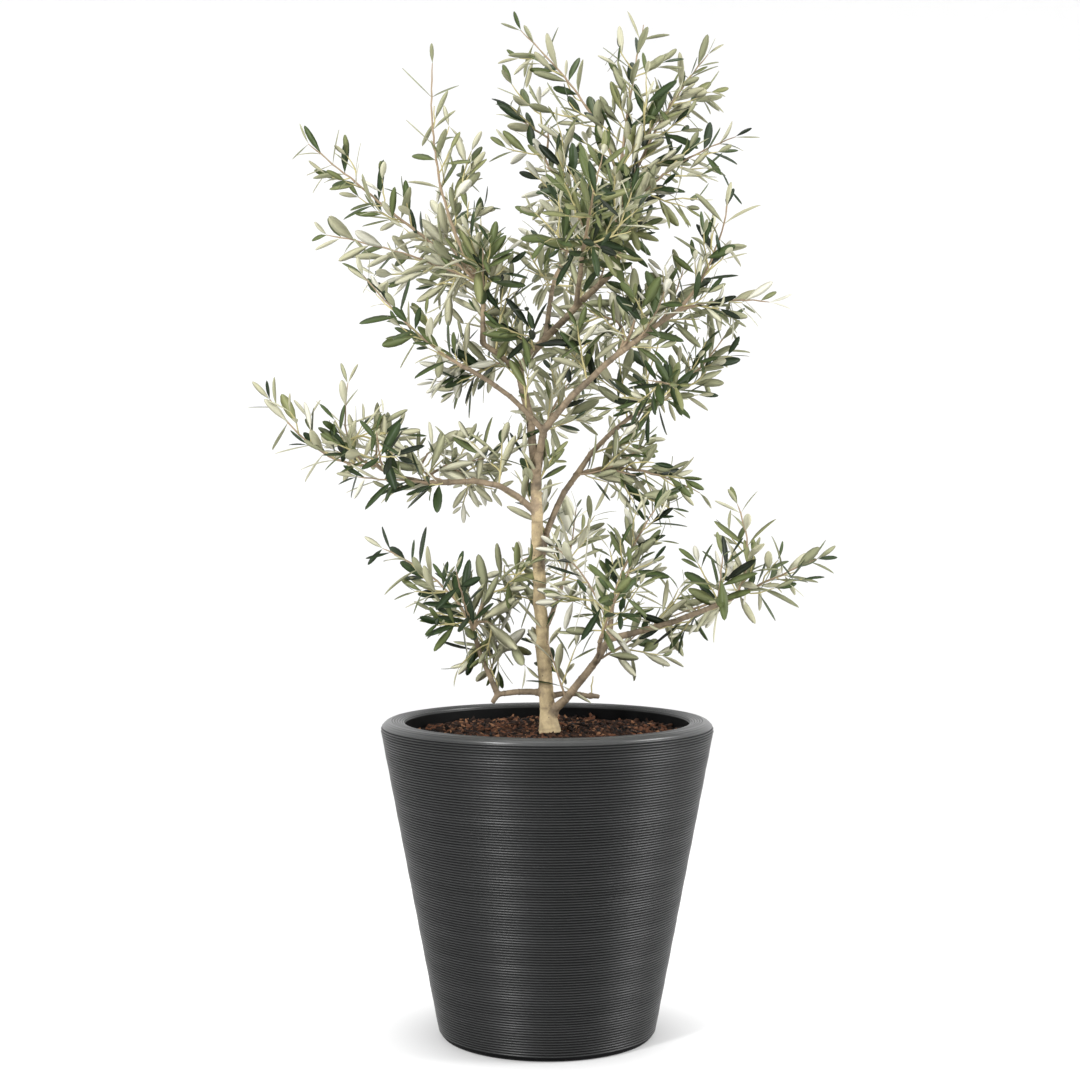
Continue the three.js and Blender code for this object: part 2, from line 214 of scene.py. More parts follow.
# The body is turned from that outline, and its ribs wander by up to 0.4 mm, as moulded ones do.
planter = spun([point[:2] for point in outline], 128)
crest_light_tree = KDTree(len(outline))
for index, (radius, height, crest_light) in enumerate(outline):
    crest_light_tree.insert((radius, 0, height), index)
crest_light_tree.balance()
crest_light_layer = planter.verts.layers.float.new("crest_light")
for vert in planter.verts:
    vert[crest_light_layer] = outline[crest_light_tree.find((vert.co.xy.length, 0, vert.co.z))[1]][2]
    place = Vector((vert.co.x * 9, vert.co.y * 9, vert.co.z * 60))
    if vert.co.z > foot_round and vert.co.xy.length > mouth_radius * 0.7:
        below_crest = min(1, (pot_height - vert.co.z) / (30 * MM))
        vert.co.z += 0.4 * MM * noise.noise(place) * below_crest
        vert.co.xy *= 1 + 0.0006 * noise.noise(place * 2.3)
for face in planter.faces:
    face.smooth = True

# Moulded polyethylene, dyed through and left as it comes from a blasted mould: dark and satin,
# with painted light on the crests of the ribs and painted shade in the grooves, so it shows soft
# bands of light.
polyethylene, shader = new_material("moulded polyethylene", roughness=0.4, ior=1.4)
coordinate = add_node(polyethylene, "ShaderNodeTexCoord")
cloud = add_node(polyethylene, "ShaderNodeTexNoise",
                 {"Scale": 1 / (60 * MM), "Detail": 5.0, "Roughness": 0.6},
                 {"Vector": (coordinate, "Object")})
tone = add_node(polyethylene, "ShaderNodeValToRGB", links={"Fac": (cloud, "Fac")})
tone.color_ramp.elements[0].position, tone.color_ramp.elements[1].position = 0.3, 0.72
tone.color_ramp.elements[0].color = linear("#070808")
tone.color_ramp.elements[1].color = linear("#0d0d0e")
grain = add_node(polyethylene, "ShaderNodeTexNoise", {"Scale": 1 / (1.2 * MM), "Detail": 3.0},
                 {"Vector": (coordinate, "Object")})
dents = add_node(polyethylene, "ShaderNodeBump", {"Strength": 0.15, "Distance": 0.12 * MM},
                 {"Height": (grain, "Fac")})
crest_light = add_node(polyethylene, "ShaderNodeAttribute", {"attribute_name": "crest_light"})
# Painted light: the base colour goes from the dark tone in the grooves, painted shade, to a lighter grey
# on the crests, a painted highlight.
painted_light_mix = add_node(polyethylene, "ShaderNodeMix", {"data_type": "RGBA"})
polyethylene.node_tree.links.new(crest_light.outputs["Fac"], painted_light_mix.inputs[0])
polyethylene.node_tree.links.new(tone.outputs["Color"], painted_light_mix.inputs[6])
painted_light_mix.inputs[7].default_value = linear("#3f4040")
gloss = add_node(polyethylene, "ShaderNodeMapRange", {"From Max": 0.4, "To Min": 0.55, "To Max": 0.3},
                 {"Value": (crest_light, "Fac")})
# The specular level follows the same painted light: low in the grooves, high on the crests.
crest_light_sheen = add_node(polyethylene, "ShaderNodeMapRange", {"From Max": 0.5, "To Min": 0.1, "To Max": 0.75},
                  {"Value": (crest_light, "Fac")})
polyethylene.node_tree.links.new(crest_light_sheen.outputs["Result"], shader.inputs["Specular IOR Level"])
polyethylene.node_tree.links.new(painted_light_mix.outputs[2], shader.inputs["Base Color"])
polyethylene.node_tree.links.new(gloss.outputs["Result"], shader.inputs["Roughness"])
polyethylene.node_tree.links.new(dents.outputs["Normal"], shader.inputs["Normal"])
new_piece("ribbed_planter", planter, [polyethylene], ["pot"])

# ---------------------------------------------------------------------------- soil
# Potting mix filled to just under the rim and topped with fine bark mulch. The bed under the
# mulch is lumpy, stands a little higher in the middle and dips beside the trunk.
soil_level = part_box("soil")[1].z
soil_edge = radius_at("soil", soil_level - 12 * MM, soil_level - 1 * MM)
soil_random = random.Random(5)
trunk_ring = [v.co for v in frame["nodes"]["trunk"].data.vertices if v.co.z < soil_level + 1 * MM]
trunk_foot = sum(trunk_ring, Vector()) / len(trunk_ring)


def soil_height(x, y):
    """The height of the lumpy bed over a point of the planter's mouth."""
    from_axis = math.hypot(x, y) / soil_edge
    lumps = noise.noise(Vector((x, y, 0)) * 28) + 0.5 * noise.noise(Vector((x, y, 3)) * 75)
    beside_x = (x - trunk_foot.x - 24 * MM) / (20 * MM)
    beside_y = (y - trunk_foot.y) / (26 * MM)
    hollow = math.exp(-(beside_x ** 2 + beside_y ** 2))
    return soil_level - 3 * MM - 2 * MM * from_axis ** 2 + 5 * MM * lumps - 7 * MM * hollow


bed_gap = 1 * MM
bed_floor = wall + 0.5 * MM
bed_shoulder = lip_bottom - 10 * MM
bed_outline = [(radius, soil_level) for radius in np.linspace(0, soil_edge, 46)]
bed_outline += [
    (soil_edge, lip_bottom + 4 * MM),
    (wall_radius(bed_shoulder) - wall - bed_gap, bed_shoulder),
    (foot_radius - wall - bed_gap, bed_floor),
    (0, bed_floor),
]
bed = spun(bed_outline, 120)
for vert in bed.verts:
    if vert.co.z > soil_level - 1 * MM:
        vert.co.z = soil_height(vert.co.x, vert.co.y)
for face in bed.faces:
    face.smooth = True

# Damp peaty mix: nearly black brown, matt, with crumbs a few millimetres across.
peat, shader = new_material("damp potting mix", roughness=0.95)
coordinate = add_node(peat, "ShaderNodeTexCoord")
crumbs = add_node(peat, "ShaderNodeTexNoise", {"Scale": 1 / (5 * MM), "Detail": 6.0, "Roughness": 0.7},
                  {"Vector": (coordinate, "Object")})
tone = add_node(peat, "ShaderNodeValToRGB", links={"Fac": (crumbs, "Fac")})
tone.color_ramp.elements[0].position, tone.color_ramp.elements[1].position = 0.35, 0.7
tone.color_ramp.elements[0].color = linear("#1a100b")
tone.color_ramp.elements[1].color = linear("#3d281d")
rough = add_node(peat, "ShaderNodeBump", {"Strength": 0.9, "Distance": 2 * MM},
                 {"Height": (crumbs, "Fac")})
peat.node_tree.links.new(tone.outputs["Color"], shader.inputs["Base Color"])
peat.node_tree.links.new(rough.outputs["Normal"], shader.inputs["Normal"])
new_piece("potting_mix", bed, [peat], ["soil"])


def shape_arrays(bm):
    """A shape's points, triangles and material numbers as arrays, ready to be repeated."""
    bmesh.ops.triangulate(bm, faces=bm.faces)
    bm.verts.ensure_lookup_table()
    points = np.array([v.co for v in bm.verts])
    faces = np.array([[v.index for v in f.verts] for f in bm.faces])
    tags = np.array([f.material_index for f in bm.faces])
    bm.free()
    return points, faces, tags


def joined_copies(name, shapes, placings):
    """One mesh of many placed copies.

    Each placing is a shape's number, a 3 x 3 turn and scale, a place, and a material for each
    material number of the shape.
    """
    all_points, all_faces, all_tints = [], [], []
    offset = 0
    for number, turn, place, tints in placings:
        points, faces, tags = shapes[number]
        all_points.append(points @ turn.T + place)
        all_faces.append(faces + offset)
        all_tints.append(np.array(tints)[tags])
        offset += len(points)
    points, faces, tints = map(np.concatenate, (all_points, all_faces, all_tints))
    mesh = bpy.data.meshes.new(name)
    mesh.vertices.add(len(points))
    mesh.vertices.foreach_set("co", points.astype(np.float32).ravel())
    mesh.loops.add(faces.size)
    mesh.loops.foreach_set("vertex_index", faces.astype(np.int32).ravel())
    mesh.polygons.add(len(faces))
    mesh.polygons.foreach_set("loop_start", np.arange(0, faces.size, 3, dtype=np.int32))
    mesh.polygons.foreach_set("material_index", tints.astype(np.int32))
    mesh.polygons.foreach_set("use_smooth", np.ones(len(faces), bool))
    mesh.update(calc_edges=True)
    return mesh


chip_width, chip_thickness = 0.36, 0.24


def chip_shape(curl, twist, taper_end):
    """A curled splinter of bark 1 long: a thin bar, narrowed at its ends, bent and twisted."""
    bm = bmesh.new()
    bmesh.ops.create_cube(bm, size=1)
    long_edges = [e for e in bm.edges if abs((e.verts[0].co - e.verts[1].co).x) > 0.5]
    bmesh.ops.subdivide_edges(bm, edges=long_edges, cuts=2)
    for vert in bm.verts:
        along = vert.co.x * 2
        narrow = 1 - taper_end * abs(along) ** 2
        spot = Vector((vert.co.x, vert.co.y * chip_width * narrow, vert.co.z * chip_thickness * narrow))
        spot.rotate(Matrix.Rotation(twist * along, 3, "X"))
        spot.z -= curl * along * along
        vert.co = spot
    return shape_arrays(bm)


# Mulch: shreds of composted bark 5 to 22 mm long, dry and matt, scattered thick enough to hide
# the mix. They run from nearly black to a pale tan, each tint with its share of the shreds.
mulch_looks = {"black": ("#0a0604", 22), "dark": ("#22150e", 30), "brown": ("#3c271b", 24),
               "russet": ("#573827", 16), "pale": ("#7c5940", 8)}
mulch_tints = [new_material(f"composted bark {word}", base_color=linear(colour), roughness=0.9,
                            specular_ior_level=0.2)[0]
               for word, (colour, share) in mulch_looks.items()]
mulch_shares = [share for colour, share in mulch_looks.values()]
chip_count = 5600
bare_round_trunk = 19 * MM
chip_shapes = [chip_shape(0.10, 0.5, 0.5), chip_shape(0.2, 0.2, 0.75), chip_shape(-0.12, 0.8, 0.6),
               chip_shape(0.04, 0.1, 0.3)]
chip_places = []
while len(chip_places) < chip_count:
    radius = (soil_edge - 5 * MM) * math.sqrt(soil_random.random())
    around = soil_random.uniform(0, 2 * math.pi)
    x, y = radius * math.cos(around), radius * math.sin(around)
    if math.dist((x, y), trunk_foot.xy) < bare_round_trunk:
        continue
    length = soil_random.triangular(5, 22, 11) * MM
    lie = Matrix.Rotation(soil_random.uniform(0, 2 * math.pi), 3, "Z")
    lie @= Matrix.Rotation(soil_random.gauss(0, 0.35), 3, "Y")
    lie @= Matrix.Rotation(soil_random.gauss(0, 0.45), 3, "X")
    lie @= Matrix.Diagonal((length, length * soil_random.uniform(0.7, 1.3), length))
    lift = soil_height(x, y) + soil_random.uniform(0.0, 2.6) * MM
    tint = soil_random.choices(range(len(mulch_tints)), mulch_shares)[0]
    chip = soil_random.randrange(len(chip_shapes))
    chip_places.append((chip, np.array(lie), np.array((x, y, lift)), [tint]))
mulch = joined_copies("bark_mulch", chip_shapes, chip_places)
new_piece("bark_mulch", mulch, mulch_tints, ["soil"])

# ---------------------------------------------------------------------------- trunk and boughs
# The olive's own wood: a trunk with a root flare that forks low, and the boughs down to about
# 6 mm thick. The forks have grown together, so the limbs are fused into one skin of bark.
limb_names = [part["node"] for part in frame["record"]["subparts"] if part["material_slot"] == "bark"]
station_spacing = 10 * MM


def stations(name):
    """Points along the middle of a limb, from its base to its tip, evenly spaced."""
    points = np.array([v.co for v in frame["nodes"][name].data.vertices])
    middle = points.mean(0)
    axis = np.linalg.svd(points - middle)[2][0]
    along = (points - middle) @ axis
    bins = np.round((along - along.min()) / station_spacing).astype(int)
    line = [points[bins == b].mean(0) for b in np.unique(bins)]
    if math.dist(line[0], trunk_foot) > math.dist(line[-1], trunk_foot):
        line.reverse()
    return [Vector(p) for p in line]


# Marks run along each limb's middle, so that any point of the bark can ask which limb it is on,
# how far along it, and how thick that limb is there. The skin stands bark_depth outside the CAD's.
Mark = namedtuple("Mark", "limb place way travelled girth")
bark_random = random.Random(23)
bark_depth = 0.7 * MM
mark_spacing = 6 * MM
knot_spacing = 26 * MM
stub_length = 17 * MM
limb_lines = {name: stations(name) for name in limb_names}
limb_girths = {}
marks = []
wood = bmesh.new()
for name in limb_names:
    limb = bmesh.new()
    limb.from_mesh(frame["nodes"][name].data)
    bmesh.ops.remove_doubles(limb, verts=limb.verts, dist=0.01 * MM)
    limb.normal_update()
    for vert in limb.verts:
        vert.co += vert.normal * bark_depth
    surface = [v.co.copy() for v in limb.verts]
    line = limb_lines[name]
    girths = [min((point - here).length for point in surface) for here in line]
    limb_girths[name] = girths
    travelled = 0.0
    for here, ahead, thick, thin in zip(line, line[1:], girths, girths[1:]):
        gap = (ahead - here).length
        for share in np.arange(0, 1, min(1, mark_spacing / gap)):
            marks.append(Mark(name, here.lerp(ahead, share), (ahead - here).normalized(),
                              travelled + gap * share, thick + (thin - thick) * share))
        travelled += gap
    # A limb swells where it leaves its parent.
    if name != "trunk":
        bmesh.ops.create_icosphere(limb, subdivisions=2, radius=girths[1] * 1.3,
                                   matrix=Matrix.Translation(line[0]))
    # Bud scars and the collars of lost twigs stand out of the bark as small knots.
    for _ in range(max(2, int(travelled / knot_spacing))):
        spot = bark_random.choice(surface)
        size = bark_random.uniform(1.5, 2.4) * MM * (1.5 if name == "trunk" else 1.0)
        bmesh.ops.create_icosphere(limb, subdivisions=1, radius=size, matrix=Matrix.Translation(spot))
    # Two limbs end in the stub that a pruning cut left, with a ring of healed bark round it.
    if name in ("cut_limb", "low_left_limb"):
        tip, lead = line[-1], (line[-1] - line[-3]).normalized()
        if name == "low_left_limb":
            lead = Vector((-0.55, -0.1, -0.83))
        stub = Matrix.Translation(tip + lead * 7 * MM) @ lead.to_track_quat("Z", "Y").to_matrix().to_4x4()
        bmesh.ops.create_cone(limb, cap_ends=True, segments=10, radius1=4.6 * MM, radius2=3.8 * MM,
                              depth=stub_length, matrix=stub)
        bmesh.ops.create_icosphere(limb, subdivisions=2, radius=5.4 * MM, matrix=Matrix.Translation(tip))
    copy = bpy.data.meshes.new(name)
    limb.to_mesh(copy)
    limb.free()
    wood.from_mesh(copy)
    bpy.data.meshes.remove(copy)
limb_marks = KDTree(len(marks))
for number, mark in enumerate(marks):
    limb_marks.insert(mark.place, number)
limb_marks.balance()
bark = new_piece("trunk_and_boughs", wood, [], limb_names)
fuse = bark.modifiers.new("fuse", "REMESH")
fuse.mode, fuse.voxel_size = "VOXEL", 1.3 * MM
relax = bark.modifiers.new("relax", "SMOOTH")
relax.factor, relax.iterations = 0.5, 7
fused = bpy.data.meshes.new_from_object(bark.evaluated_get(bpy.context.evaluated_depsgraph_get()))
bark.modifiers.clear()
bark.data = fused

# The bark's relief: shallow lengthwise furrows, and rings where old leaf pairs and buds fell.
relief = bmesh.new()
relief.from_mesh(fused)
along_layer = relief.verts.layers.float.new("along")
girth_layer = relief.verts.layers.float.new("girth")
relief.normal_update()
floor_of_bark = min(v.co.z for v in relief.verts) + 3 * MM
young_girth, old_girth = 6.4 * MM, 9 * MM
for vert in relief.verts:
    near_marks = [marks[number] for _, number, _ in limb_marks.find_n(vert.co, 5)]
    mark = near_marks[0]
    girth = sum(near.girth for near in near_marks) / len(near_marks)
    out = vert.co - mark.place
    along = mark.travelled + out.dot(mark.way)
    out = (out - mark.way * out.dot(mark.way)).normalized()
    furrow = noise.noise(out * 2.6 + mark.way * along * 26)
    pitch = (31 if mark.limb == "trunk" else 24) * MM
    uneven = 9 * MM * noise.noise(mark.place * 22)
    past_ring = ((along + uneven) % pitch) / MM - 4
    ring = math.exp(-(past_ring / 1.5) ** 2) - 0.5 * math.exp(-((past_ring - 3) / 1.6) ** 2)
    fine = noise.noise(vert.co * 320)
    lump = noise.noise(vert.co * 70)
    if vert.co.z > floor_of_bark:
        vert.co += vert.normal * MM * (0.32 * furrow + 0.38 * ring + 0.14 * fine + 0.35 * lump)
    vert[along_layer] = (along + uneven) / pitch
    vert[girth_layer] = min(1.0, max(0.0, (girth - young_girth) / (old_girth - young_girth)))
for face in relief.faces:
    face.smooth = True
relief.to_mesh(fused)
relief.free()

# Olive bark of a few years: thin, smooth and grey-tan on the trunk, a pinker grey-brown on the
# boughs, with dark rings at old scars, pale crackled patches and small dark corky dots. The
# thinner wood, the boughs and the upper trunk, is also darker: partly its own colour and
# partly painted shade from the crown above it.
olive_bark, shader = new_material("olive bark", roughness=0.78)
coordinate = add_node(olive_bark, "ShaderNodeTexCoord")
girth_of = add_node(olive_bark, "ShaderNodeAttribute", {"attribute_name": "girth"})
along_of = add_node(olive_bark, "ShaderNodeAttribute", {"attribute_name": "along"})
patches = add_node(olive_bark, "ShaderNodeTexNoise",
                   {"Scale": 1 / (22 * MM), "Detail": 6.0, "Roughness": 0.62},
                   {"Vector": (coordinate, "Object")})
old = add_node(olive_bark, "ShaderNodeValToRGB", links={"Fac": (patches, "Fac")})
old.color_ramp.elements[0].position, old.color_ramp.elements[1].position = 0.34, 0.66
old.color_ramp.elements[0].color = linear("#827358")
old.color_ramp.elements[1].color = linear("#c6b28a")
# The thin wood's colours are darker, partly painted shade from the crown above.
young = add_node(olive_bark, "ShaderNodeValToRGB", links={"Fac": (patches, "Fac")})
young.color_ramp.elements[0].position, young.color_ramp.elements[1].position = 0.36, 0.68
young.color_ramp.elements[0].color = linear("#5f5343")
young.color_ramp.elements[1].color = linear("#95836a")
by_girth = add_node(olive_bark, "ShaderNodeMix", {"data_type": "RGBA"})
olive_bark.node_tree.links.new(girth_of.outputs["Fac"], by_girth.inputs[0])
olive_bark.node_tree.links.new(young.outputs["Color"], by_girth.inputs[6])
olive_bark.node_tree.links.new(old.outputs["Color"], by_girth.inputs[7])
dots = add_node(olive_bark, "ShaderNodeTexVoronoi", {"Scale": 1 / (7 * MM), "Randomness": 1.0},
                {"Vector": (coordinate, "Object")})
few_dots = add_node(olive_bark, "ShaderNodeVectorMath", {"operation": "MULTIPLY_ADD"})
olive_bark.node_tree.links.new(dots.outputs["Color"], few_dots.inputs[0])
few_dots.inputs[1].default_value = (0.4, 0.4, 0.4)
olive_bark.node_tree.links.new(dots.outputs["Distance"], few_dots.inputs[2])
dot_edge = add_node(olive_bark, "ShaderNodeMapRange", {"From Min": 0.18, "From Max": 0.32},
                    {"Value": (few_dots, "Vector")})
cycle = add_node(olive_bark, "ShaderNodeMath", {"operation": "FRACT"})
olive_bark.node_tree.links.new(along_of.outputs["Fac"], cycle.inputs[0])
scars = add_node(olive_bark, "ShaderNodeValToRGB", links={"Fac": (cycle, "Value")})
scars.color_ramp.elements[0].position, scars.color_ramp.elements[1].position = 0.09, 0.26
scars.color_ramp.elements[0].color = scars.color_ramp.elements[1].color = (1, 1, 1, 1)
scars.color_ramp.elements.new(0.17).color = (0.45, 0.42, 0.4, 1)
darker = add_node(olive_bark, "ShaderNodeMix", {"data_type": "RGBA", "blend_type": "MULTIPLY"})
darker.inputs[0].default_value = 0.5
olive_bark.node_tree.links.new(by_girth.outputs[2], darker.inputs[6])
olive_bark.node_tree.links.new(scars.outputs["Color"], darker.inputs[7])
dotted = add_node(olive_bark, "ShaderNodeMix", {"data_type": "RGBA"})
olive_bark.node_tree.links.new(dot_edge.outputs["Result"], dotted.inputs[0])
dotted.inputs[6].default_value = linear("#544637")
olive_bark.node_tree.links.new(darker.outputs[2], dotted.inputs[7])
olive_bark.node_tree.links.new(dotted.outputs[2], shader.inputs["Base Color"])
crackle = add_node(olive_bark, "ShaderNodeTexNoise", {"Scale": 1 / (2 * MM), "Detail": 4.0},
                   {"Vector": (coordinate, "Object")})
crackled = add_node(olive_bark, "ShaderNodeBump", {"Strength": 0.4, "Distance": 0.4 * MM},
                    {"Height": (crackle, "Fac")})
olive_bark.node_tree.links.new(crackled.outputs["Normal"], shader.inputs["Normal"])
fused.materials.append(olive_bark)

# ---------------------------------------------------------------------------- twigs
# Shoots of the last two or three years. In each mass of foliage a leader grows on from the limb
# that feeds the mass, and side shoots fork off it until the mass is filled to even spacing.
fed_by = {
    "left_riser": ["leaves_top_left", "leaves_upper_left", "leaves_left_outer", "leaves_left_heart"],
    "top_bough": ["leaves_top_middle"],
    "top_leader": ["leaves_top", "leaves_top_right", "leaves_upper_right"],
    "front_bough": ["leaves_heart_front"],
    "back_bough": ["leaves_heart_back"],
    "crossing_bough": ["leaves_left_low"],
    "right_bough": ["leaves_over_bough", "leaves_centre"],
    "right_bough_tip": ["leaves_right_upper", "leaves_right_side"],
    "second_stem_tip": ["leaves_right_middle", "leaves_right_inner"],
    "second_stem": ["leaves_right_low"],
    "low_right_riser": ["leaves_right_riser"],
    "left_arm_tip": ["leaves_arm_tip", "leaves_arm_top"],
    "left_arm": ["leaves_arm_middle", "leaves_arm_back"],
    "low_left_riser": ["leaves_low_left", "leaves_low_left_inner", "leaves_low_left_side"],
    "back_limb": ["leaves_low_back"],
    "back_stem": ["leaves_middle_back"],
    "low_right_bough": ["leaves_low_middle"],
    "front_limb": ["leaves_low_front"],
    "low_right_reach": ["leaves_low_right", "leaves_reach_riser", "leaves_reach_tip"],
}
shoot_spacing = 41 * MM
node_spacing = 21 * MM
tries_per_mass = 2600
longest_side_shoot = 200 * MM
shoot_random = random.Random(404)
shoots = []


class Hull:
    """The convex hull of a mass of foliage, for telling how deep a point lies inside it."""

    def __init__(self, name):
        bm = bmesh.new()
        for vert in frame["nodes"][name].data.vertices:
            bm.verts.new(vert.co)
        bmesh.ops.remove_doubles(bm, verts=bm.verts, dist=0.1 * MM)
        result = bmesh.ops.convex_hull(bm, input=bm.verts)
        inside = set(result["geom_interior"] + result["geom_unused"])
        bmesh.ops.delete(bm, geom=list(inside), context="VERTS")
        bmesh.ops.recalc_face_normals(bm, faces=bm.faces)
        self.corners = [v.co.copy() for v in bm.verts]
        self.tree = BVHTree.FromBMesh(bm)
        bm.free()

    def depth(self, point):
        """How deep a point lies under the hull's surface; outside it, less than 0."""
        spot, normal, _, distance = self.tree.find_nearest(point)
        return distance if (point - spot).dot(normal) < 0 else -distance


def curved(start, lead, end):
    """A shoot's line: it sets off along lead, bends over to its end, and wavers from node to node."""
    length = (end - start).length
    control = start + lead * 0.45 * length
    count = max(4, round(length / (node_spacing / 2)))
    line = []
    for step in range(count + 1):
        t = step / count
        point = start.lerp(control, t).lerp(control.lerp(end, t), t)
        waver = Vector([shoot_random.uniform(-1, 1) for _ in range(3)]) * 0.9 * MM
        line.append(point + waver * (1 if 0 < step < count else 0))
    return line


def add_shoot(mass, start, lead, end, parent):
    """Adds a shoot that belongs to a mass and forks off its parent's point; gives its number."""
    line = curved(start, lead, end)
    ways = [(b - a).normalized() for a, b in zip(line, line[1:])]
    shoots.append({"mass": mass, "line": line, "ways": ways + ways[-1:], "parent": parent,
                   "load": [0.0] * len(line)})
    return len(shoots) - 1


def fork_cost(fork, tip):
    """How badly a side shoot to tip suits a fork: the best are short and lean forwards."""
    number, index = fork
    reach = tip - shoots[number]["line"][index]
    facing = reach.dot(shoots[number]["ways"][index]) / max(reach.length, 1e-6)
    too_short = 0.2 if reach.length < 38 * MM else 0.0
    return reach.length + 0.16 * max(0.0, 0.62 - facing) + too_short


for limb, masses in fed_by.items():
    for mass in masses:
        hull = Hull(mass)
        line = limb_lines[limb]
        # The leader leaves its limb where that runs deepest in the mass, or at the limb's tip.
        at = max(range(len(line)), key=lambda i: hull.depth(line[i]))
        at = len(line) - 1 if at > len(line) - 5 else at
        root = line[at]
        limb_way = (line[min(at + 1, len(line) - 1)] - line[max(at - 1, 0)]).normalized()
        far = max(hull.corners, key=lambda corner: (corner - root).length)
        middle = sum(hull.corners, Vector()) / len(hull.corners)
        far = far.lerp(middle, 0.12)
        lead = (limb_way * 1.4 + (middle - root).normalized()).normalized()
        first = add_shoot(mass, root, lead, far, None)
        shoots[first]["girth"] = limb_girths[limb][at] * (1.0 if at == len(line) - 1 else 0.4)
        # Side shoots end at points strewn through the mass, each well apart from all the others.
        low = Vector([min(c[i] for c in hull.corners) for i in range(3)])
        high = Vector([max(c[i] for c in hull.corners) for i in range(3)])
        tips = [far]
        for _ in range(tries_per_mass):
            spot = Vector([shoot_random.uniform(low[i], high[i]) for i in range(3)])
            if not 11 * MM < hull.depth(spot) < 60 * MM:
                continue
            if min((spot - tip).length for tip in tips) > shoot_spacing:
                tips.append(spot)
        for tip in sorted(tips[1:], key=lambda spot: (spot - root).length):
            forks = [(number, index) for number in range(first, len(shoots))
                     for index in range(1, len(shoots[number]["line"]) - 2)]
            number, index = min(forks, key=lambda fork: fork_cost(fork, tip))
            start, way = shoots[number]["line"][index], shoots[number]["ways"][index]
            reach = tip - start
            if reach.length > longest_side_shoot:
                continue
            aside = reach - way * reach.dot(way)
            lead = (way * 0.55 + aside.normalized() * 0.85).normalized()
            add_shoot(mass, start, lead, tip, (number, index))

# Between the masses the boughs carry leafy spurs of their own: a limb's count of them, and
# whether they stand to the front and the back by turns, so that the crown is full in depth.
spurs_on = {
    "left_fork": (4, False), "left_riser": (4, True), "top_bough": (4, True),
    "top_leader": (4, True), "crossing_bough": (2, False), "left_arm": (3, False),
    "left_arm_tip": (3, True), "right_bough": (1, False), "right_bough_tip": (3, True),
    "second_stem": (1, False), "second_stem_tip": (4, False), "low_left_riser": (3, True),
    "low_right_bough": (2, False), "low_right_riser": (1, False), "low_right_reach": (2, True),
    "back_limb": (1, False),
}
for limb, (count, both_ways) in spurs_on.items():
    line = limb_lines[limb]
    for spur in range(count):
        share = (spur + shoot_random.uniform(0.3, 0.9)) / count
        at = min(len(line) - 2, max(1, round(share * (len(line) - 1))))
        way = (line[at + 1] - line[at - 1]).normalized()
        side = way.orthogonal().normalized()
        side.rotate(Matrix.Rotation(shoot_random.uniform(0, 2 * math.pi), 3, way))
        side.y = abs(side.y) * 0.6
        reach = shoot_random.uniform(65, 115) * MM
        if both_ways:
            side = Vector((shoot_random.uniform(-0.4, 0.4), -1 if spur % 2 else 1, 0))
            reach = shoot_random.uniform(90, 165) * MM
        lead = (way * 0.35 + side + Vector((0, 0, 0.3))).normalized()
        end = line[at] + (lead + Vector((0, 0, shoot_random.uniform(0, 0.4)))).normalized() * reach
        mass = fed_by.get(limb, ["leaves_centre"])[0]
        number = add_shoot(mass, line[at], lead, end, None)
        for fork in range(2):
            stem = shoots[number]
            index = min(len(stem["line"]) - 2, 2 + 2 * fork)
            off = stem["ways"][index].orthogonal().normalized()
            off.rotate(Matrix.Rotation(shoot_random.uniform(0, 2 * math.pi), 3, stem["ways"][index]))
            lead = (stem["ways"][index] * 0.7 + off * 0.6).normalized()
            tip = stem["line"][index] + lead * shoot_random.uniform(45, 80) * MM
            add_shoot(mass, stem["line"][index], lead, tip, (number, index))

# Two bare twiglets stand on the stubs left low on the trunk.
for limb, offset in (("cut_limb", (3, -2, 30)), ("low_left_limb", (-14, -6, 46))):
    tip = limb_lines[limb][-1]
    number = add_shoot("leaves_low_middle", tip, Vector((0, 0, 1)), tip + Vector(offset) * MM, None)
    shoots[number]["bare"] = True

# A point's load is the length of all the growth beyond it, which sets how thick the shoot is.
for shoot in reversed(shoots):
    line, load = shoot["line"], shoot["load"]
    for index in range(len(line) - 2, -1, -1):
        load[index] += load[index + 1]
        load[index] += (line[index + 1] - line[index]).length
    if shoot["parent"]:
        parent, index = shoot["parent"]
        shoots[parent]["load"][index] += load[0]


def thickness(shoot, index):
    """The radius of a shoot at a point; a leader starts as thick as the end of its limb."""
    line = shoot["line"]
    grown = 0.9 * MM * (1 + shoot["load"][index] / (80 * MM)) ** 0.4
    travelled = sum((b - a).length for a, b in zip(line[:index], line[1:index + 1]))
    return max(grown, shoot.get("girth", 0) * math.exp(-travelled / (40 * MM)))


def tubes(name, chosen, materials):
    """Shoots as round tapering tubes, with a small swelling at each node."""
    curve = bpy.data.curves.new(name, "CURVE")
    curve.dimensions, curve.bevel_depth, curve.bevel_resolution = "3D", 1.0, 2
    curve.use_fill_caps = True
    for shoot in chosen:
        spline = curve.splines.new("POLY")
        spline.points.add(len(shoot["line"]) - 1)
        for index, (point, place) in enumerate(zip(spline.points, shoot["line"])):
            point.co = (*place, 1)
            node = 1.22 if index % 2 == 0 and index else 1.0
            tip = 0.6 if index == len(shoot["line"]) - 1 else 1.0
            point.radius = thickness(shoot, index) * node * tip
        spline.use_smooth = True
    holder = bpy.data.objects.new(name + "_lines", curve)
    bpy.context.scene.collection.objects.link(holder)
    depsgraph = bpy.context.evaluated_depsgraph_get()
    mesh = bpy.data.meshes.new_from_object(holder.evaluated_get(depsgraph))
    bpy.data.objects.remove(holder)
    mesh.materials.clear()
    for face in mesh.polygons:
        face.use_smooth = True
    all_masses = [mass for masses in fed_by.values() for mass in masses]
    new_piece(name, mesh, materials, all_masses)


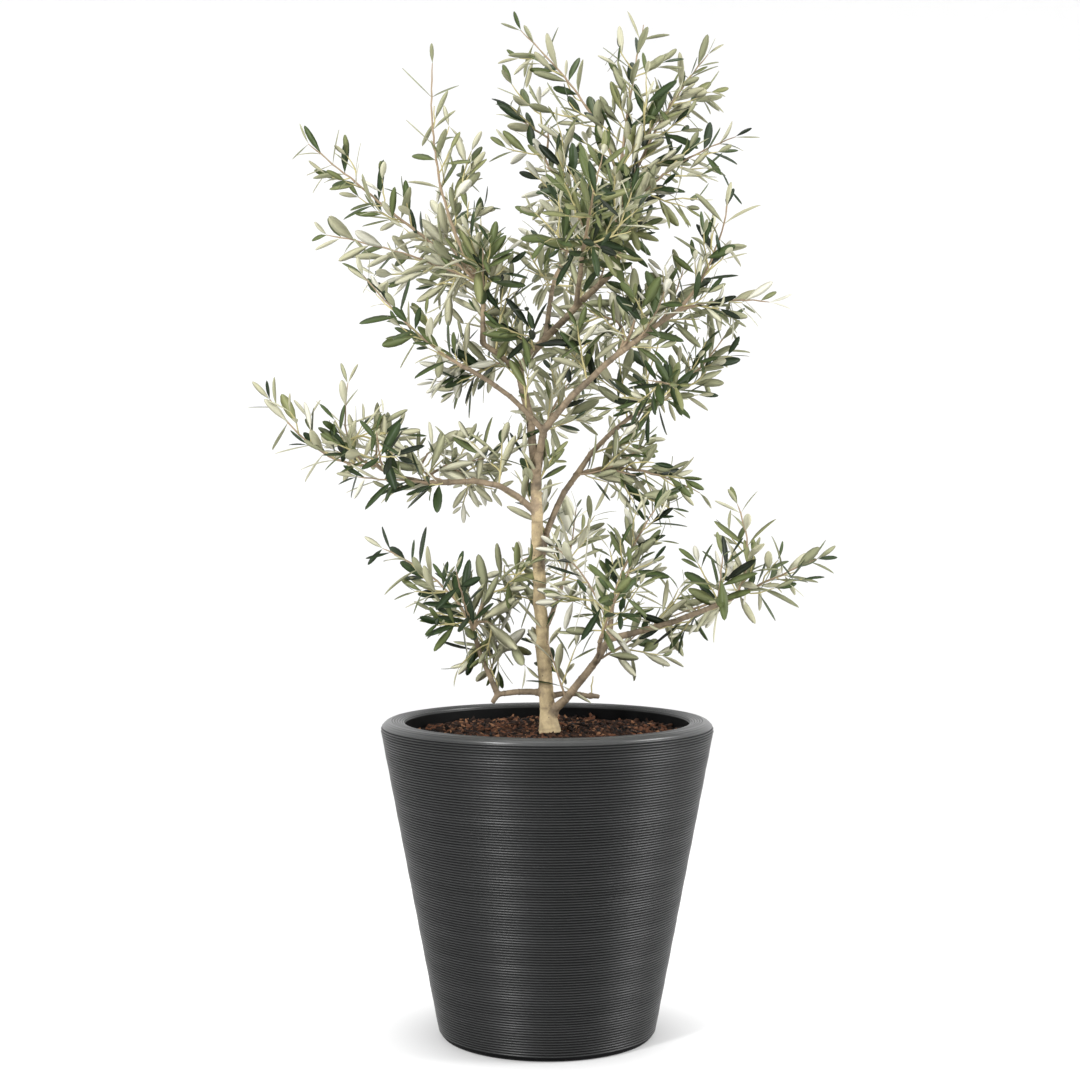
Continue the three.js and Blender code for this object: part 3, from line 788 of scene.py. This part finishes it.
# Second-year wood is pinkish grey-brown; this year's shoots are yellow-green to tan.
older = new_material("second-year olive wood", base_color=linear("#948169"), roughness=0.75)[0]
green = new_material("olive shoot of the year", base_color=linear("#b0a675"), roughness=0.6)[0]
woody_load = 240 * MM
tubes("woody_twigs", [shoot for shoot in shoots if shoot["load"][0] > woody_load], [older])
tubes("green_shoots", [shoot for shoot in shoots if shoot["load"][0] <= woody_load], [green])

# ---------------------------------------------------------------------------- leaves
# Leathery olive leaves, about 58 mm by 12 mm, in pairs set crosswise: each pair is turned a
# quarter round from the last. Dark grey-green and smooth above, silver with fine scales below.


def leaf_shape(width, bend, fold, sickle):
    """A leaf 1 long on +X, its upper face to +Z: two skins that meet at the margin, and a stalk."""
    bm = bmesh.new()
    for side in (0, 1):
        made = bmesh.ops.create_grid(bm, x_segments=7, y_segments=2, size=0.5)["verts"]
        for vert in made:
            along = 0.5 - 0.5 * math.cos(math.pi * (vert.co.x + 0.5))
            across = vert.co.y * 2
            blade = max(0.0, (along - 0.05) / 0.95)
            outline = math.sin(math.pi * blade) if blade < 0.5 else (1 - (2 * blade - 1) ** 2.5) ** 0.6
            stalk = 0.011 if blade < 0.02 else 0.002
            half = width / 2 * outline + stalk
            thick = 0.012 if side and abs(across) < 0.5 else 0.0
            lift = fold * abs(across) * half - thick
            vert.co = Vector((along, across * half + sickle * along * along, lift - bend * along * along))
        for face in {f for vert in made for f in vert.link_faces}:
            face.material_index = side
    bmesh.ops.remove_doubles(bm, verts=bm.verts, dist=0.0008)
    bmesh.ops.recalc_face_normals(bm, faces=bm.faces)
    return shape_arrays(bm)


# Five leaves, each of a width, a bend, a fold and a curve to one side, as parts of its length.
leaf_shapes = [leaf_shape(0.22, 0.05, 0.12, 0.0), leaf_shape(0.245, 0.10, 0.1, 0.05),
               leaf_shape(0.21, -0.03, 0.16, -0.05), leaf_shape(0.275, 0.02, 0.06, 0.03),
               leaf_shape(0.2, 0.16, 0.14, -0.03)]

# Waxy upper faces, from old leaves to new, and scaly matt undersides, each with its share.
upper_tints = {"#16200f": 6, "#223118": 12, "#304021": 18, "#42502c": 22, "#576139": 20,
               "#6b7148": 14, "#7d8056": 8}
under_tints = {"#838566": 12, "#999a7a": 24, "#aeac8e": 28, "#c2c0a6": 24, "#d6d4c3": 12}
foliage_materials = []
for number, colour in enumerate(upper_tints):
    foliage_materials.append(new_material(f"olive leaf upper {number}", base_color=linear(colour),
                                          roughness=0.48, ior=1.33)[0])
for number, colour in enumerate(under_tints):
    foliage_materials.append(new_material(f"olive leaf under {number}", base_color=linear(colour),
                                          roughness=0.8)[0])
upper_shares, under_shares = list(upper_tints.values()), list(under_tints.values())
last_upper, last_under = len(upper_tints) - 1, len(under_tints) - 1

# A spray's leaves share a tint, give or take one. Leaves are lost first from the older wood, a
# few are missing from their pair, a few hang, and those near the tip are small and held close.
leafy_length = 150 * MM
kept_near_tip, kept_on_old_wood = 0.93, 0.6
missing, hanging = 0.05, 0.06
young_length = 45 * MM
leaf_random = random.Random(77)
leaf_places = {}
for shoot in shoots:
    line, ways = shoot["line"], shoot["ways"]
    if shoot.get("bare"):
        continue
    upper = leaf_random.choices(range(len(upper_tints)), upper_shares)[0]
    under = leaf_random.choices(range(len(under_tints)), under_shares)[0]
    turn = leaf_random.uniform(0, 2 * math.pi)
    count = len(line)
    for index in range(2, count):
        if index % 2 and index != count - 1:
            continue
        from_tip = sum((b - a).length for a, b in zip(line[index:], line[index + 1:]))
        if leaf_random.random() > (kept_near_tip if from_tip < leafy_length else kept_on_old_wood):
            continue
        way = ways[index]
        side = way.orthogonal().normalized()
        side.rotate(Matrix.Rotation(turn, 3, way))
        turn += math.pi / 2 + leaf_random.gauss(0, 0.25)
        young = max(0.0, 1 - from_tip / young_length)
        for face_way in (1, -1):
            if leaf_random.random() < missing:
                continue
            out = side * face_way
            splay = math.radians(leaf_random.gauss(52 - 24 * young, 8))
            direction = (way * math.cos(splay) + out * math.sin(splay)).normalized()
            direction += Vector([leaf_random.gauss(mean, 0.1) for mean in (0, 0, 0.02)])
            if leaf_random.random() < hanging:
                direction += Vector((0, 0, -1.3))
            direction.normalize()
            normal = way - direction * way.dot(direction)
            normal = (normal.normalized() + Vector((0, 0, 0.35))).normalized()
            normal = (normal - direction * normal.dot(direction)).normalized()
            normal.rotate(Matrix.Rotation(leaf_random.gauss(0, 0.5), 3, direction))
            across = normal.cross(direction)
            length = leaf_random.triangular(46, 68, 60) * MM * (1 - 0.45 * young)
            basis = np.array((direction, across * leaf_random.uniform(0.88, 1.14), normal)).T * length
            shade = min(last_upper, max(0, upper + leaf_random.choice((-1, 0, 0, 0, 1))))
            back = min(last_under, max(0, under + leaf_random.choice((-1, 0, 0, 1))))
            tints = (shade, len(upper_tints) + back)
            place = np.array(line[index] + out * thickness(shoot, index) * 0.6)
            leaf = leaf_random.randrange(len(leaf_shapes))
            leaf_places.setdefault(shoot["mass"], []).append((leaf, basis, place, tints))

# The leaves are kept as three pieces, by the height of the middle of the mass they belong to.
leaf_heights = {"crown_leaves": (1.13, math.inf), "middle_leaves": (0.82, 1.13), "low_leaves": (0, 0.82)}
for name, (above, up_to) in leaf_heights.items():
    chosen = [mass for mass in leaf_places if above < sum(c.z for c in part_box(mass)) / 2 <= up_to]
    copies = [leaf for mass in chosen for leaf in leaf_places[mass]]
    mesh = joined_copies(name, leaf_shapes, copies)
    new_piece(name, mesh, foliage_materials, chosen)

# ---------------------------------------------------------------------------- studio
# A round white cove with a floor 7 m across, a soft light at each side, of which the left one is
# tall and narrow, and a broad one overhead.
floor_radius = 3.5
cove_round = 1.5
cove_height = 4.5
cove_outline = [(0, 0), (floor_radius, 0)]
for turn in np.linspace(0.1, 1, 10) * math.pi / 2:
    cove_outline.append((floor_radius + cove_round * math.sin(turn), cove_round * (1 - math.cos(turn))))
cove_outline.append((floor_radius + cove_round, cove_height))
cove = spun(cove_outline, 64)
for face in cove.faces:
    face.smooth = True

# White acrylic lit from behind: it glows evenly, and dims round the planter's foot, a painted shadow.
acrylic, shader = new_material("white acrylic cove", base_color=(0.6, 0.6, 0.6, 1), roughness=0.9,
                               emission_color=(1, 1, 1, 1))
coordinate = add_node(acrylic, "ShaderNodeTexCoord")
away = add_node(acrylic, "ShaderNodeVectorMath", {"operation": "LENGTH"})
acrylic.node_tree.links.new(coordinate.outputs["Object"], away.inputs[0])
# Painted shadow: the glow is weakest within 0.16 m of the middle and full from 0.25 m out.
glow_and_painted_shadow = add_node(acrylic, "ShaderNodeMapRange",
                {"From Min": 0.16, "From Max": 0.25, "To Min": 0.15, "To Max": 0.38},
                {"Value": (away, "Value")})
acrylic.node_tree.links.new(glow_and_painted_shadow.outputs["Result"], shader.inputs["Emission Strength"])
cove_mesh = bpy.data.meshes.new("cove")
cove.to_mesh(cove_mesh)
cove.free()
cove_mesh.materials.append(acrylic)
floor = bpy.data.objects.new("cove", cove_mesh)
bpy.context.scene.collection.objects.link(floor)

world = bpy.data.worlds.new("studio")
bpy.context.scene.world = world
world.use_nodes = True
background = world.node_tree.nodes["Background"]
background.inputs["Color"].default_value = (1, 1, 1, 1)
background.inputs["Strength"].default_value = 0.3


def soft_light(name, place, aim, width, height, power):
    """A rectangular softbox at a place, facing a point."""
    light = bpy.data.lights.new(name, "AREA")
    light.shape, light.size, light.size_y, light.energy = "RECTANGLE", width, height, power
    box = bpy.data.objects.new(name, light)
    box.location = place
    box.rotation_euler = (Vector(aim) - Vector(place)).to_track_quat("-Z", "Y").to_euler()
    bpy.context.scene.collection.objects.link(box)


soft_light("right_softbox", (3.0, -0.5, 1.7), (0, 0, 0.7), 1.2, 2.4, 95)
soft_light("left_softbox", (-1.9, -2.6, 2.0), (0, 0, 0.5), 0.36, 1.8, 110)
soft_light("overhead_softbox", (0, 0.2, 3.4), (0, 0, 0.4), 2.4, 2.4, 62)

# The camera stands 2.9 m in front, at half the plant's height, and looks very slightly down.
lens = bpy.data.cameras.new("camera")
lens.sensor_width = 36
lens.lens = 63.37
camera = bpy.data.objects.new("camera", lens)
camera.location = (-0.0108, -2.867, 0.806)
camera.rotation_euler = (math.radians(90 - 1.21), 0, 0)
bpy.context.scene.collection.objects.link(camera)
bpy.context.scene.camera = camera
bpy.context.scene.view_settings.view_transform = "Standard"
